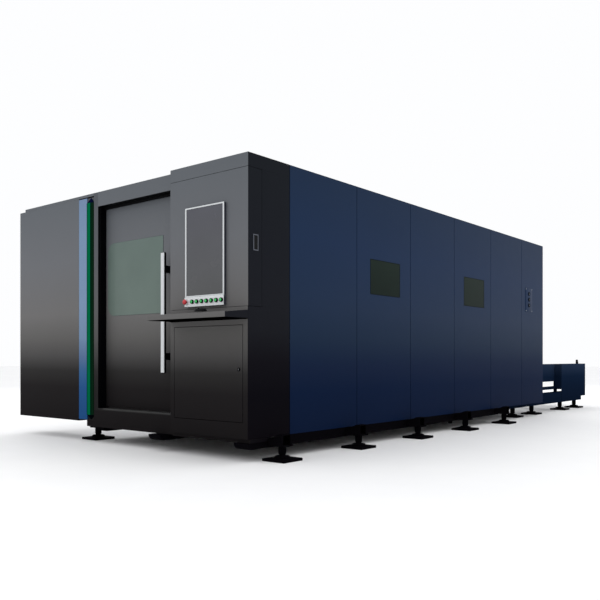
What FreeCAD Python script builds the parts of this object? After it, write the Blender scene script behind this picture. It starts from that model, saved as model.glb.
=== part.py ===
import FreeCAD, Part
import Sketcher
import os
import re
import sys

# Enclosed sheet-cutting machine with a two-level pallet exchange table.
# Millimetres. X runs along the front towards the right, Y from the front to the rear, Z up.
# Lengths below are measured from the machine's front right corner at the floor; every piece is
# then placed from the row origin, which is the middle of the whole machine's footprint.

SIZES = {
    # whole machine
    "total_height": 2300, "body_width": 2145, "body_length": 5820, "wing_end": 3316,
    "bed_length": 4400, "table_end": 8040, "skin": 4, "seam": 6,
    # bed
    "beam_width": 145, "beam_low": 96, "beam_top": 296, "nose_radius": 44, "skid_gap": 2,
    "member_inset": 54, "bed_inset": 6, "drain_y": 3290, "drain_radius": 22, "drain_drop": 34,
    "wall_inset": 100, "wall_width": 100, "wall_top": 900, "rail_width": 34, "rail_height": 30,
    "tray_clear": 60, "tray_height": 90,
    # feet
    "pad_side": 220, "pad_thick": 26, "boss_radius": 62, "boss_height": 12, "screw_radius": 32,
    "nut_radius": 52, "nut_height": 26, "foot_outset": 96, "foot_first": 275, "foot_pitch": 1012,
    "bracket_width": 120, "bracket_reach": 156, "bracket_low": 100, "bracket_top": 174,
    # front frame
    "front_setback": 76, "frame_depth": 24, "skirt_low": 145, "sill_low": 300, "sill_top": 320,
    "opening_top": 2168, "opening_left": 1963, "post_left": 2027, "ridge_left": 2136,
    "accent_left": 2266, "ridge_height": 16, "ridge_side": 20, "strip_low": 205, "strip_top": 2266,
    "jamb": 4, "inner_frame_front": 222, "post_side": 84,
    # wing
    "wing_low": 188, "wing_top": 2275, "wing_depth": 350, "wing_step": 101,
    # front door
    "door_front": 171, "door_thick": 30, "door_lap": 32, "door_clear": 8, "door_right": 882,
    "window_left": 1944, "window_right": 1157, "window_low": 1163, "window_top": 1833,
    "window_radius": 50, "pane_thick": 8, "pane_clear": 1,
    "handle_x": 1072, "handle_width": 43, "handle_thick": 25, "handle_gap": 60,
    "handle_low": 652, "handle_top": 1667, "standoff_width": 28, "standoff_height": 60,
    "standoff_inset": 139, "track_height": 26, "track_width": 18, "hanger_width": 90,
    # control cabinet
    "cabinet_width": 867, "cabinet_low": 174, "cabinet_depth": 479, "desk_low": 1073,
    "desk_front": 1112, "desk_rear": 1137, "desk_reach": 240, "console_low": 1165,
    "console_top": 2194, "cap_low": 2197, "console_depth": 149, "hatch_left": 817,
    "hatch_right": 57, "hatch_low": 300, "hatch_top": 1023, "hatch_gap": 4, "hatch_thick": 3,
    "lock_x": 93, "lock_z": 693, "lock_radius": 13, "lock_reach": 7,
    # monitor and its buttons
    "monitor_left": 665, "monitor_right": 226, "monitor_low": 1181, "monitor_top": 1960,
    "monitor_thick": 24, "bar_top": 1255, "bar_thick": 28, "bezel_side": 18, "bezel_top": 12,
    "screen_thick": 14, "screen_sink": 3, "button_z": 1219, "button_first": 574,
    "button_pitch": 54, "button_radius": 12, "button_clear": 1, "button_length": 24,
    "button_reach": 15, "estop_x": 646, "estop_radius": 21, "estop_neck": 9, "estop_cap": 16,
    "estop_gap": 12,
    # paddle latch on the console door
    "latch_front": 53, "latch_rear": 107, "latch_low": 1579, "latch_top": 1700,
    "latch_border": 7, "latch_proud": 5, "paddle_clear": 1, "paddle_pin": 1, "flap_sink": 1.4,
    "pin_clear": 0.05,
    # door pivots
    "pivot_inset": 14, "pivot_radius": 6, "pivot_length": 18, "knuckle_radius": 4,
    "knuckle_length": 60, "knuckle_inset": 10, "knuckle_end": 90, "knuckle_web": 14,
    # side skins, windows and service plate
    "side_low": 178, "side_pitch": 923, "view_first": 1612, "view_length": 512, "view_low": 1360,
    "view_high": 1682, "view_step": 1861, "service_y": 5216, "service_length": 219,
    "service_low": 1380, "service_height": 310, "service_thick": 4, "gauge_radius": 22,
    # gantry, carriage and head
    "gantry_y": 640, "gantry_depth": 240, "gantry_low": 1010, "gantry_height": 240,
    "truck_length": 380, "truck_clear": 3, "carriage_width": 200, "carriage_thick": 40,
    "carriage_drop": 40, "head_width": 110, "head_depth": 100, "head_low": 850,
    "nozzle_low": 762, "nozzle_radius": 24, "nozzle_tip": 5, "slide_clear": 2,
    # pallets and exchange table
    "pallet_y": 790, "pallet_length": 3100, "pallet_shift": 3990, "pallet_width": 1600,
    "pallet_bar": 60, "pallet_upper": 585, "pallet_lower": 445, "slat_height": 100,
    "slat_thick": 6, "track_plate": 8, "track_reach": 40, "track_clear": 2, "track_gap": 44,
    "table_inset": 150, "table_beam": 140, "table_foot": 45, "table_low": 120, "beam_height": 150,
    "panel_step": 100, "bar_width": 40, "tie_height": 50, "flange": 14, "end_corner": 200,
    "bar_low": 310, "bar_high": 355, "panel_low": 430, "panel_top": 690, "end_start": 6960,
    "end_step": 60, "end_drop": 30,
    "stop_y": 7720, "stop_height": 55, "divider_y": 4500, "slot_top": 770, "shutter_low": 778,
    "shutter_height": 350, "shutter_inset": 215, "shutter_thick": 6, "deck_z": 800,
}

PANELS = 6          # side panels after the black corner panel
FEET_A_SIDE = 5
TABLE_FEET = ("bed_length + 864", "bed_length + 1509", "end_start + 60", "end_start + 687")
BUTTONS = 7
CROSS_MEMBERS = 5
SLATS = 21

doc = FreeCAD.newDocument("CuttingMachine")
sheet = doc.addObject("Spreadsheet::Sheet", "Sizes")
for row, (alias, value) in enumerate(SIZES.items(), start=1):
    sheet.set(f"A{row}", alias)
    sheet.set(f"B{row}", str(value))
    sheet.setAlias(f"B{row}", alias)
doc.recompute()

# The row origin is the middle of the footprint: wing to right pads, desk edge to table end.
CENTRE_X = "((foot_outset + pad_side / 2 - wing_end) / 2)"
CENTRE_Y = "((table_end - desk_reach) / 2)"
NODES = []


def sized(text):
    """Turn plain words such as "skin * 2" into references to the sheet's cells."""
    return re.sub(r"[a-z]\w*", lambda word: "Sizes." + word.group(0), str(text))


def place(piece, x, y, z):
    """Bind a piece's place, given from the front right corner, to the row origin."""
    piece.setExpression("Placement.Base.x", sized(f"{x} - {CENTRE_X}"))
    piece.setExpression("Placement.Base.y", sized(f"{y} - {CENTRE_Y}"))
    piece.setExpression("Placement.Base.z", sized(z))


def box(x, y, z, name="Bar"):
    """A straight bar or plate; x, y and z are its (low, high) limits."""
    bar = doc.addObject("Part::Box", name)
    for side, (low, high) in zip(("Length", "Width", "Height"), (x, y, z)):
        bar.setExpression(side, sized(f"({high}) - ({low})"))
    place(bar, x[0], y[0], z[0])
    return bar


TURNS = {"z": FreeCAD.Rotation(), "y": FreeCAD.Rotation(FreeCAD.Vector(1, 0, 0), -90),
         "x": FreeCAD.Rotation(FreeCAD.Vector(0, 1, 0), 90)}


def rod(axis, foot, radius, length, name="Rod", kind="Part::Cylinder"):
    """A round bar that starts at foot and runs along +axis."""
    bar = doc.addObject(kind, name)
    bar.Placement = FreeCAD.Placement(FreeCAD.Vector(), TURNS[axis])
    bar.setExpression("Radius", sized(radius))
    bar.setExpression("Height", sized(length))
    place(bar, *foot)
    return bar


def node(label, *solids):
    """Name one sub-part; several solids of it are kept together as a group."""
    piece = solids[0]
    if len(solids) > 1:
        piece = doc.addObject("Part::Compound", "Group")
        piece.Links = list(solids)
    piece.Label = label
    NODES.append(piece)
    return piece


def mirrored(x_low, x_high):
    """The same span on the other side of the bed's middle line."""
    return f"-body_width - ({x_high})", f"-body_width - ({x_low})"


def both_sides(x, y, z):
    """Two equal bars, one on each side of the bed."""
    return [box(x, y, z), box(mirrored(*x), y, z)]


def origin_plane(body, role):
    return next(item for item in body.Origin.OriginFeatures if item.Role == role)


def start_sketch(label, role):
    body = doc.addObject("PartDesign::Body", "Body")
    body.Label = label
    sketch = body.newObject("Sketcher::SketchObject", "Sketch")
    sketch.AttachmentSupport = [(origin_plane(body, role), "")]
    sketch.MapMode = "FlatFace"
    return body, sketch


def line(sketch, start, end):
    return sketch.addGeometry(Part.LineSegment(FreeCAD.Vector(*start, 0), FreeCAD.Vector(*end, 0)))


def bound(sketch, kind, places, value, rule):
    """Add a distance or radius and bind it to the sheet."""
    index = sketch.addConstraint(Sketcher.Constraint(kind, *places, value))
    sketch.setExpression(f"Constraints[{index}]", sized(rule))


def rectangle(sketch, low, size, scale):
    """A rectangle whose corner and sides follow the sheet; scale only seeds the solver."""
    u, v = scale * 100, scale * 100
    w = scale * 50
    corners = [(u, v), (u + w, v), (u + w, v + w), (u, v + w)]
    sides = [line(sketch, corners[i], corners[(i + 1) % 4]) for i in range(4)]
    for i in range(4):
        sketch.addConstraint(Sketcher.Constraint("Coincident", sides[i], 2, sides[(i + 1) % 4], 1))
    for i in (0, 2):
        sketch.addConstraint(Sketcher.Constraint("Horizontal", sides[i]))
    for i in (1, 3):
        sketch.addConstraint(Sketcher.Constraint("Vertical", sides[i]))
    if low is None:
        sketch.addConstraint(Sketcher.Constraint("Coincident", sides[0], 1, -1, 1))
    else:
        bound(sketch, "DistanceX", (-1, 1, sides[0], 1), u, low[0])
        bound(sketch, "DistanceY", (-1, 1, sides[0], 1), v, low[1])
    bound(sketch, "DistanceX", (sides[0], 1, sides[0], 2), w, size[0])
    bound(sketch, "DistanceY", (sides[1], 1, sides[1], 2), w, size[1])


def rounded_edges(shape, normal, which):
    """Edges along the plate's normal: those of its holes, its outside corners or its low nose."""
    across = [axis for axis in "xyz" if axis != normal]
    edges = []
    for number, edge in enumerate(shape.Edges, start=1):
        start, end = edge.Vertexes[0].Point, edge.Vertexes[-1].Point
        if abs(abs(getattr(start - end, normal)) - edge.Length) > 0.01:
            continue
        low = [abs(getattr(start, a) - getattr(shape.BoundBox, a.upper() + "Min")) < 0.01
               for a in across]
        high = [abs(getattr(start, a) - getattr(shape.BoundBox, a.upper() + "Max")) < 0.01
                for a in across]
        outside = any(low) or any(high)
        if {"holes": not outside, "outside": outside, "nose": all(low)}[which]:
            edges.append(f"Edge{number}")
    return edges


def plate(label, role, low, size, holes=(), corner=None, rounds="holes", register=True):
    """A flat plate padded from one sketch, with rectangular holes and rounded corners.

    role is the plane that it lies in, low its lowest corner, size its (width, height, thickness)
    and each hole is (u, v, width, height) from that corner.
    """
    body, sketch = start_sketch(label, role)
    rectangle(sketch, None, size[:2], 1)
    for number, hole in enumerate(holes, start=2):
        rectangle(sketch, hole[:2], hole[2:], number)
    pad = body.newObject("PartDesign::Pad", "Pad")
    pad.Profile = sketch
    pad.Reversed = role == "XZ_Plane"
    pad.setExpression("Length", sized(size[2]))
    place(body, *low)
    if corner:
        doc.recompute()
        normal = {"XZ_Plane": "y", "YZ_Plane": "x", "XY_Plane": "z"}[role]
        fillet = body.newObject("PartDesign::Fillet", "Fillet")
        fillet.Base = (pad, rounded_edges(pad.Shape, normal, rounds))
        fillet.setExpression("Radius", sized(corner))
    if register:
        NODES.append(body)
    return body


def profile(label, role, low, points, length, register=True):
    """A bar of constant section: points are (u, v) rules from the low corner, in order."""
    body, sketch = start_sketch(label, role)
    seeds = [tuple(value_of(rule) for rule in point) for point in points]
    count = len(points)
    sides = [line(sketch, seeds[i], seeds[(i + 1) % count]) for i in range(count)]
    for i in range(count):
        sketch.addConstraint(Sketcher.Constraint("Coincident", sides[i], 2,
                                                 sides[(i + 1) % count], 1))
    for side, point, seed in zip(sides, points, seeds):
        for kind, rule, value in zip(("DistanceX", "DistanceY"), point, seed):
            if rule == "0":
                on_axis = -2 if kind == "DistanceX" else -1
                sketch.addConstraint(Sketcher.Constraint("PointOnObject", side, 1, on_axis))
            else:
                bound(sketch, kind, (-1, 1, side, 1), value, rule)
    pad = body.newObject("PartDesign::Pad", "Pad")
    pad.Profile = sketch
    pad.Reversed = role == "XZ_Plane"
    pad.setExpression("Length", sized(length))
    place(body, *low)
    if register:
        NODES.append(body)
    return body


def value_of(rule):
    """The number that a rule over the sheet comes to, used to seed a sketch."""
    words = {alias: float(number) for alias, number in SIZES.items()}
    total = FreeCAD.Units.parseQuantity(
        re.sub(r"[a-z]\w*", lambda word: str(words[word.group(0)]), rule))
    return total.Value


# ---- welded bed --------------------------------------------------------------------------
# Three box beams run the length of the bed; low skids with rounded noses carry their front ends.
BEAM_SPANS = (("-beam_width", "-bed_inset"),
              ("-body_width / 2 - beam_width / 2", "-body_width / 2 + beam_width / 2"),
              ("-body_width + bed_inset", "-body_width + beam_width"))
SKID_TOP = "skirt_low - skid_gap"
beams = []
for left, right in BEAM_SPANS:
    beams.append(box((left, right), ("cabinet_depth", "bed_length"), ("beam_low", "beam_top")))
    beams.append(plate("Skid", "YZ_Plane", (left, "0", "beam_low"),
                       ("cabinet_depth", f"{SKID_TOP} - beam_low", f"{right} - ({left})"),
                       (), "nose_radius", "nose", register=False))

bays = (("-body_width + beam_width", "-body_width / 2 - beam_width / 2"),
        ("-body_width / 2 + beam_width / 2", "-beam_width"))
members = []
for number in range(CROSS_MEMBERS):
    y = f"foot_first + {number} * foot_pitch"
    z = ("beam_low + member_inset", "beam_top - seam")
    if number == 0:
        z = ("beam_low + skid_gap", SKID_TOP)
    for bay in bays:
        members.append(box(bay, (f"{y} - beam_width / 2", f"{y} + beam_width / 2"), z))
WALL_IN = "-wall_inset - wall_width"
bed_y = ("cabinet_depth + seam", "bed_length")
drain = rod("z", ("-beam_width / 2", "drain_y", "beam_low - drain_drop"), "drain_radius",
            "drain_drop")
node("bed_frame", *beams, *members, drain,
     *both_sides((WALL_IN, "-wall_inset"), bed_y, ("beam_top", "wall_top")))
rail_x = ("-wall_inset - wall_width / 2 - rail_width / 2",
          "-wall_inset - wall_width / 2 + rail_width / 2")
rack_x = ("-wall_inset - wall_width", "-wall_inset - wall_width + rail_height")
rail_z = ("wall_top", "wall_top + rail_height")
node("gantry_rails", *both_sides(rail_x, bed_y, rail_z), *both_sides(rack_x, bed_y, rail_z))

# Ledges carry the pallets at two levels; they stop short of the shutter's plane.
# On the table they are welded to its inner walls.
TRACK_X = ("-body_width / 2 + pallet_width / 2 - track_reach", WALL_IN)
TABLE_WALL = "-table_inset - panel_step"
tracks = []
for level in ("pallet_upper", "pallet_lower"):
    z = (f"{level} - track_clear - track_plate", f"{level} - track_clear")
    tracks += both_sides(TRACK_X, ("cabinet_depth + seam", "divider_y - track_gap"), z)
    tracks += both_sides((TRACK_X[0], f"{TABLE_WALL} - skin"),
                         ("divider_y + skin + seam", "table_end - skin - seam"), z)
node("pallet_tracks", *tracks)

tray_x = ("-body_width - (" + WALL_IN + ") + tray_clear", WALL_IN + " - tray_clear")
tray_y = ("pallet_y", "pallet_y + pallet_length")
tray_z = ("beam_top + skin", "beam_top + skin + tray_height")
node("scrap_tray",
     box(tray_x, tray_y, (tray_z[0], tray_z[0] + " + skin")),
     box(tray_x, (tray_y[0], tray_y[0] + " + skin"), (tray_z[0] + " + skin", tray_z[1])),
     box(tray_x, (tray_y[1] + " - skin", tray_y[1]), (tray_z[0] + " + skin", tray_z[1])),
     box((tray_x[0], tray_x[0] + " + skin"), (tray_y[0] + " + skin", tray_y[1] + " - skin"),
         (tray_z[0] + " + skin", tray_z[1])),
     box((tray_x[1] + " - skin", tray_x[1]), (tray_y[0] + " + skin", tray_y[1] + " - skin"),
         (tray_z[0] + " + skin", tray_z[1])))

# ---- levelling feet ----------------------------------------------------------------------
# Outrigger brackets carry the bed's feet outside the side skins; the table's feet stand
# straight under its beams.
feet = []
brackets = []
for number in range(FEET_A_SIDE):
    y = f"foot_first + {number} * foot_pitch"
    bracket_y = (f"{y} - bracket_width / 2", f"{y} + bracket_width / 2")
    brackets += both_sides(("-bed_inset", "bracket_reach"), bracket_y,
                           ("bracket_low", "bracket_top"))
    feet += [("foot_outset", y, "bracket_low"), ("-body_width - foot_outset", y, "bracket_low")]
for y in TABLE_FEET:
    for x in ("-table_inset - table_foot", "-body_width + table_inset + table_foot"):
        feet.append((x, y, "table_low"))
node("foot_brackets", *brackets)
pads = []
screws = []
for x, y, top in feet:
    square = box((f"{x} - pad_side / 2", f"{x} + pad_side / 2"),
                 (f"{y} - pad_side / 2", f"{y} + pad_side / 2"), ("0", "pad_thick"))
    boss = rod("z", (x, y, "pad_thick"), "boss_radius", "boss_height")
    pads += [square, boss]
    screws.append(rod("z", (x, y, "pad_thick + boss_height"), "screw_radius",
                      f"{top} - pad_thick - boss_height"))
node("levelling_feet", *pads, *screws)

# ---- front frame -------------------------------------------------------------------------
FACE = ("front_setback", "front_setback + frame_depth")
foot_y = ("foot_first - bracket_width / 2", "foot_first + bracket_width / 2")
node("front_skirt",
     box(("-post_left", "-cabinet_width"), FACE, ("skirt_low", "sill_low")),
     box(("-ridge_left", "-post_left"), FACE, ("skirt_low", "strip_low - pane_clear")),
     box(("-cabinet_width", "-skin"), ("frame_depth", "frame_depth * 2"),
         ("skirt_low", "cabinet_low")),
     box(("-skin", "0"), ("frame_depth", foot_y[0]), ("skirt_low", "cabinet_low")),
     box(("-skin", "0"), (foot_y[1], "cabinet_depth - seam"), ("skirt_low", "cabinet_low")))
node("door_sill", box(("-opening_left", "-cabinet_width"),
                      ("front_setback", "inner_frame_front"), ("sill_low", "sill_top")))
track_y = ("door_front + door_thick / 2 - track_width / 2",
           "door_front + door_thick / 2 + track_width / 2")
track_z = ("opening_top + door_lap + track_height", "opening_top + door_lap + track_height * 2")
node("front_header",
     box(("-opening_left", "-cabinet_width"), FACE, ("opening_top", "total_height - skin")),
     box(("-wing_end + wing_step", "-post_left"), FACE, ("wing_top", "total_height - skin")),
     box(("-wing_end + wing_step", "-wing_end + wing_step + skin"),
         ("front_setback + frame_depth", "inner_frame_front"),
         ("wing_top", "total_height - skin")),
     box(("-wing_end + wing_step", "-cabinet_width - skin"),
         ("front_setback", "inner_frame_front"), ("total_height - skin", "total_height")),
     box(("-wing_end + wing_step", "-cabinet_width - skin"), track_y, track_z))
node("door_posts",
     box(("-post_left", "-opening_left"), FACE, ("sill_low", "total_height - skin")),
     box(("-opening_left - jamb", "-opening_left"),
         ("front_setback + frame_depth", "door_front - door_clear"), ("sill_top", "opening_top")),
     box(("-opening_left", "-cabinet_width"),
         ("front_setback + frame_depth", "door_front - door_clear"),
         ("opening_top", "opening_top + jamb")))
profile("light_strip", "XY_Plane", ("-ridge_left", "front_setback - ridge_height", "strip_low"),
        (("0", "ridge_height + frame_depth"), ("0", "ridge_height - skin"),
         ("ridge_left - post_left - ridge_side", "0"),
         ("ridge_left - post_left", "ridge_height - skin"),
         ("ridge_left - post_left", "ridge_height + frame_depth")),
        "strip_top - strip_low")
node("accent_strip", box(("-accent_left", "-ridge_left"), FACE, ("strip_low", "strip_top")))

# ---- left wing: the pocket that the front door slides into -------------------------------
WING_X = ("-wing_end", "-accent_left")
wing_back = ("front_setback + wing_depth - skin", "front_setback + wing_depth")
inner_y = ("front_setback + skin", "front_setback + wing_depth - skin")
node("wing_front_panel", box(WING_X, ("front_setback", "front_setback + skin"),
                             ("wing_low", "wing_top")))
node("wing_shell",
     box(("-wing_end", "-wing_end + skin"), inner_y, ("wing_low", "wing_top")),
     box(("-wing_end", "-body_width - seam"), wing_back, ("wing_low", "wing_top")),
     box(("-wing_end + skin", "-body_width - seam"), ("inner_frame_front", wing_back[0]),
         ("wing_low", "wing_low + skin")),
     box(("-wing_end + skin", "-accent_left"), ("front_setback + skin", "inner_frame_front"),
         ("wing_low", "wing_low + skin")),
     box(("-wing_end + skin", "-wing_end + wing_step"), inner_y, ("wing_top - skin", "wing_top")),
     box(("-wing_end + wing_step", "-body_width - seam"), ("inner_frame_front", wing_back[1]),
         ("wing_top", "total_height")))

# ---- enclosure ---------------------------------------------------------------------------
posts = []
for number in range(PANELS + 1):
    seam_y = f"cabinet_depth + {number} * side_pitch"
    if number == 0:
        seam_y = "inner_frame_front + post_side / 2"
    if number == PANELS:
        seam_y = "body_length - skin - post_side / 2"
    y = (f"{seam_y} - post_side / 2", f"{seam_y} + post_side / 2")
    x = ("-post_side - bed_inset", "-bed_inset")
    if number == 0:
        posts.append(box(mirrored(*x), y, ("beam_top", "total_height - skin")))
        continue
    low = "beam_top" if number < PANELS - 1 else "side_low"
    posts += both_sides(x, y, (low, "total_height - skin"))
node("enclosure_posts", *posts)

roof = []
right_skins = []
left_skins = []
for number in range(PANELS):
    start = f"cabinet_depth + {number} * side_pitch"
    end = f"cabinet_depth + {number + 1} * side_pitch - seam"
    if number == PANELS - 1:
        end = "body_length"
    left_start = start
    if number == 0:
        left_start = "front_setback + wing_depth + seam"
    roof.append(box(("-body_width", "0"), (start, end), ("total_height - skin", "total_height")))
    left_skins.append(box(("-body_width", "-body_width + skin"), (left_start, end),
                          ("side_low", "total_height - skin")))
    if number not in (1, 3):
        right_skins.append(box(("-skin", "0"), (start, end), ("side_low", "total_height - skin")))
node("roof_panels",
     box(("-body_width", "-cabinet_width"), ("inner_frame_front", "cabinet_depth - seam"),
         ("total_height - skin", "total_height")), *roof)
node("left_side_panels", *left_skins)
node("right_side_panels", *right_skins)

VIEWS = ("view_first", "view_first + view_step")
window_panels = []
for number, view_y in zip((1, 3), VIEWS):
    start = f"cabinet_depth + {number} * side_pitch"
    window_panels.append(plate(
        "WindowPanel", "YZ_Plane", ("-skin", start, "side_low"),
        ("side_pitch - seam", "total_height - skin - side_low", "skin"),
        [(f"{view_y} - ({start})", "view_low - side_low", "view_length", "view_high - view_low")],
        register=False))
node("window_panels", *window_panels)
node("side_windows",
     *[box(("-skin + pane_clear", "0"),
           (f"{view_y} + pane_clear", f"{view_y} + view_length - pane_clear"),
           ("view_low + pane_clear", "view_high - pane_clear")) for view_y in VIEWS])

node("right_front_panel",
     box(("-skin", "0"), ("0", "cabinet_depth - seam"), ("side_low", "console_low - seam / 2")),
     box(("-skin", "0"), ("console_depth + seam / 2", "cabinet_depth - seam"),
         ("console_low - seam / 2", "cap_low")))

gauges = [rod("x", ("service_thick", "service_y + service_length / 2",
                    f"service_low + service_height * {share}"), "gauge_radius",
              "service_thick * 2") for share in (0.28, 0.52, 0.76)]
node("service_plate", box(("0", "service_thick"), ("service_y", "service_y + service_length"),
                          ("service_low", "service_low + service_height")), *gauges)

node("rear_panels",
     box(("-body_width / 2 + seam / 2", "-skin"), ("body_length - skin", "body_length"),
         ("deck_z", "total_height - skin")),
     box(("-body_width + skin", "-body_width / 2 - seam / 2"),
         ("body_length - skin", "body_length"), ("deck_z", "total_height - skin")))
INSIDE_X = ("-body_width + skin + bed_inset + post_side", "-skin - bed_inset - post_side")
node("dividing_wall",
     box(INSIDE_X, ("divider_y", "divider_y + skin"), ("slot_top", "total_height - skin")),
     box(INSIDE_X, ("divider_y + skin", "body_length - skin"), ("deck_z - skin", "deck_z")))
node("laser_source", box(("-body_width / 2 - 350", "-body_width / 2 + 350"),
                         ("divider_y + 400", "divider_y + 1150"), ("deck_z", "deck_z + 620")))

# ---- control cabinet ---------------------------------------------------------------------
plate("cabinet_frame", "XZ_Plane", ("-cabinet_width", "0", "cabinet_low"),
      ("cabinet_width - skin", "desk_low - cabinet_low", "skin"),
      [("cabinet_width - hatch_left - hatch_gap", "hatch_low - cabinet_low - hatch_gap",
        "hatch_left - hatch_right + hatch_gap * 2", "hatch_top - hatch_low + hatch_gap * 2")])
# The lower door turns on two pairs of knuckles hidden behind its left edge.
KNUCKLE_X = "-hatch_left + knuckle_inset"
KNUCKLE_Y = "hatch_thick + knuckle_radius"
fixed_knuckles = []
door_knuckles = []
for z in ("hatch_low + knuckle_end", "hatch_top - knuckle_end - knuckle_length * 2"):
    door_knuckles.append(rod("z", (KNUCKLE_X, KNUCKLE_Y, z), "knuckle_radius",
                             "knuckle_length"))
    above = f"{z} + knuckle_length + pane_clear"
    fixed_knuckles.append(rod("z", (KNUCKLE_X, KNUCKLE_Y, above), "knuckle_radius",
                              "knuckle_length"))
    # The fixed leaf goes round behind the sweep of the door's edge to the cabinet's left wall.
    leaf_z = (above, f"{above} + knuckle_length")
    leaf_y = f"{KNUCKLE_Y} + knuckle_web"
    web_x = (f"{KNUCKLE_X} + knuckle_radius", f"{KNUCKLE_X} + knuckle_radius + skin")
    fixed_knuckles.append(box(web_x, (f"{KNUCKLE_Y} - pane_clear", leaf_y), leaf_z))
    fixed_knuckles.append(box(("-cabinet_width + skin", web_x[1]),
                              (leaf_y, f"{leaf_y} + skin"), leaf_z))
CABINET_X = ("-cabinet_width + skin", "-skin")
node("cabinet_walls", *fixed_knuckles,
     box(("-cabinet_width", "-cabinet_width + skin"), ("skin", "cabinet_depth - seam"),
         ("cabinet_low", "desk_low")),
     box(("-cabinet_width", "-cabinet_width + skin"),
         ("console_depth + seam / 2", "cabinet_depth - seam"), ("desk_low", "cap_low")),
     box(CABINET_X, ("cabinet_depth - seam - skin", "cabinet_depth - seam"),
         ("cabinet_low", "cap_low")),
     box(CABINET_X, ("skin", "cabinet_depth - seam - skin"),
         ("cabinet_low", "cabinet_low + skin")),
     box(("-cabinet_width", "-skin"), ("0", "console_depth + seam / 2"),
         ("desk_low", "console_low - seam / 2")),
     rod("z", ("-cabinet_width + pivot_inset", "pivot_inset", "console_low - seam / 2"),
         "pivot_radius", "pivot_length"))
node("cabinet_cap",
     rod("z", ("-cabinet_width + pivot_inset", "pivot_inset", "cap_low + skin - pivot_length"),
         "pivot_radius", "pivot_length"),
     box(("-cabinet_width", "0"), ("0", "skin"), ("cap_low", "total_height - skin")),
     box(("-cabinet_width", "-cabinet_width + skin"), ("skin", "cabinet_depth - seam"),
         ("cap_low", "total_height - skin")),
     box(("-skin", "0"), ("skin", "cabinet_depth - seam"), ("cap_low", "total_height - skin")),
     box(("-cabinet_width", "0"), ("0", "cabinet_depth - seam"),
         ("total_height - skin", "total_height")))
node("drive_rack", box(("-cabinet_width + 120", "-120"),
                       ("cabinet_depth - seam - skin - 160", "cabinet_depth - seam - skin"),
                       ("cabinet_low + 160", "desk_low - 120")))
profile("keyboard_shelf", "YZ_Plane", ("-cabinet_width", "-desk_reach", "desk_low"),
        (("0", "0"), ("desk_reach", "0"), ("desk_reach", "desk_rear - desk_low"),
         ("0", "desk_front - desk_low")), "cabinet_width")
mouse_hull = doc.addObject("Part::Ellipsoid", "MouseHull")
mouse_hull.Radius1 = 30
mouse_hull.Radius2 = 60
mouse_hull.Radius3 = 32
place(mouse_hull, "-cabinet_width / 2 + 60", "-desk_reach / 2 - 10", "desk_rear - 10")
mouse_block = box(("-cabinet_width / 2 - 20", "-cabinet_width / 2 + 140"),
                  ("-desk_reach / 2 - 60", "-desk_reach / 2 + 40"),
                  ("desk_rear - 7", "console_low - 8"))
mouse = doc.addObject("Part::Common", "Mouse")
mouse.Base = mouse_hull
mouse.Tool = mouse_block
node("mouse", mouse)

# ---- front sliding door ------------------------------------------------------------------
DOOR_LEFT = "(opening_left + door_lap)"
plate("front_door", "XZ_Plane", (f"-{DOOR_LEFT}", "door_front", "sill_top + door_clear"),
      (f"{DOOR_LEFT} - door_right", "opening_top + door_lap - sill_top - door_clear",
       "door_thick"),
      [(f"{DOOR_LEFT} - window_left", "window_low - sill_top - door_clear",
        "window_left - window_right", "window_top - window_low")], "window_radius")
plate("front_window", "XZ_Plane",
      ("-window_left + pane_clear", "door_front + pane_clear", "window_low + pane_clear"),
      ("window_left - window_right - pane_clear * 2", "window_top - window_low - pane_clear * 2",
       "pane_thick"), (), "window_radius", "outside")
handle_y = ("door_front - handle_gap - handle_thick", "door_front - handle_gap")
node("door_handle", box(("-handle_x - handle_width / 2", "-handle_x + handle_width / 2"),
                        handle_y, ("handle_low", "handle_top")))
standoffs = [box(("-handle_x - standoff_width / 2", "-handle_x + standoff_width / 2"),
                 (handle_y[1], "door_front"),
                 (f"{middle} - standoff_height / 2", f"{middle} + standoff_height / 2"))
             for middle in ("handle_low + standoff_inset", "handle_top - standoff_inset")]
hangers = []
for middle in (f"-{DOOR_LEFT} + hanger_width", "-door_right - hanger_width"):
    hangers.append(box((f"{middle} - hanger_width / 2", f"{middle} + hanger_width / 2"),
                       (track_y[1] + " + pane_clear", "door_front + door_thick"),
                       ("opening_top + door_lap", track_z[1] + " + skin * 2")))
    hangers.append(rod("y", (middle, track_y[0], track_z[1] + " + skin * 3"), "skin * 3 - 1",
                       "track_width + pane_clear"))
node("door_fittings", *standoffs, *hangers)

# ---- console door with the monitor -------------------------------------------------------
INNER_Z = ("console_low + skin", "console_top - skin")
PIVOT = ("-cabinet_width + pivot_inset", "pivot_inset")


def pivot_plate(z):
    """The pan's top or bottom, drilled for the pivot pin at its front left corner."""
    drilled = doc.addObject("Part::Cut", "PivotPlate")
    drilled.Base = box(("-cabinet_width + skin", "-skin"), ("skin", "console_depth"), z)
    drilled.Tool = rod("z", (*PIVOT, z[0]), "pivot_radius + pin_clear", "skin")
    return drilled


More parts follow.
